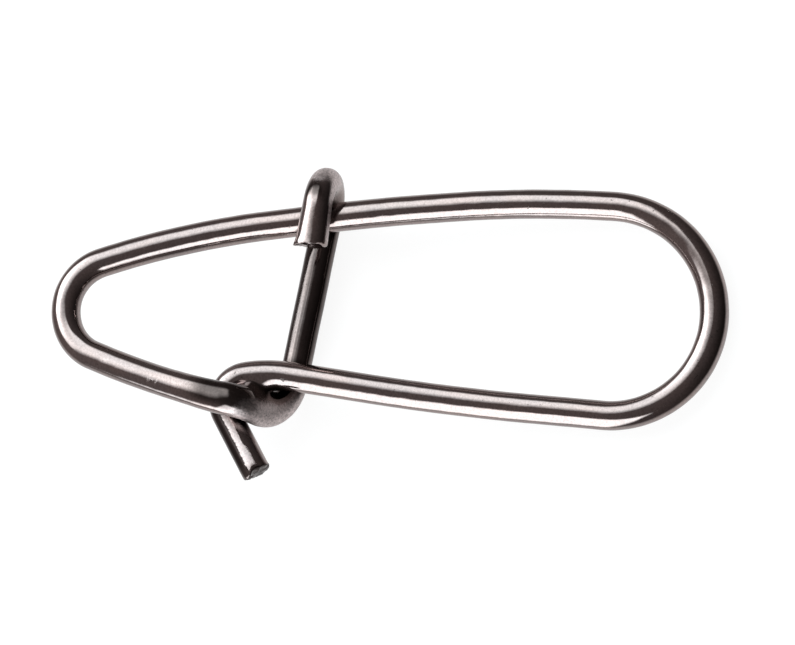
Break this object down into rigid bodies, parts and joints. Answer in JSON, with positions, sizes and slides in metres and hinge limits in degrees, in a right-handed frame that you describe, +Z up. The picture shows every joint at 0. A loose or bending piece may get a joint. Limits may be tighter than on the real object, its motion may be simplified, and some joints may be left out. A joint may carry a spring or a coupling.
{
  "type": "fishing snap",
  "caption": "Double-ended snap bent from one round spring wire: a teardrop loop whose two hooked ends catch the wire itself, for joining line, swivel and lure.",
  "frame": {"origin": "on the surface that the snap lies on, under the middle of its bounding box", "axes": "+X along the loop from the narrow nose to the wide end, +Y across it towards the side with the tip hook, +Z up from the surface"},
  "size_m": [0.0374, 0.0172, 0.0053],
  "materials": {
    "wire": "dark warm-grey plating, highly polished, with fine drawing lines along the wire"
  },
  "bodies": {
    "root": {"snap_wire": "wire"}
  },
  "joints": []
}
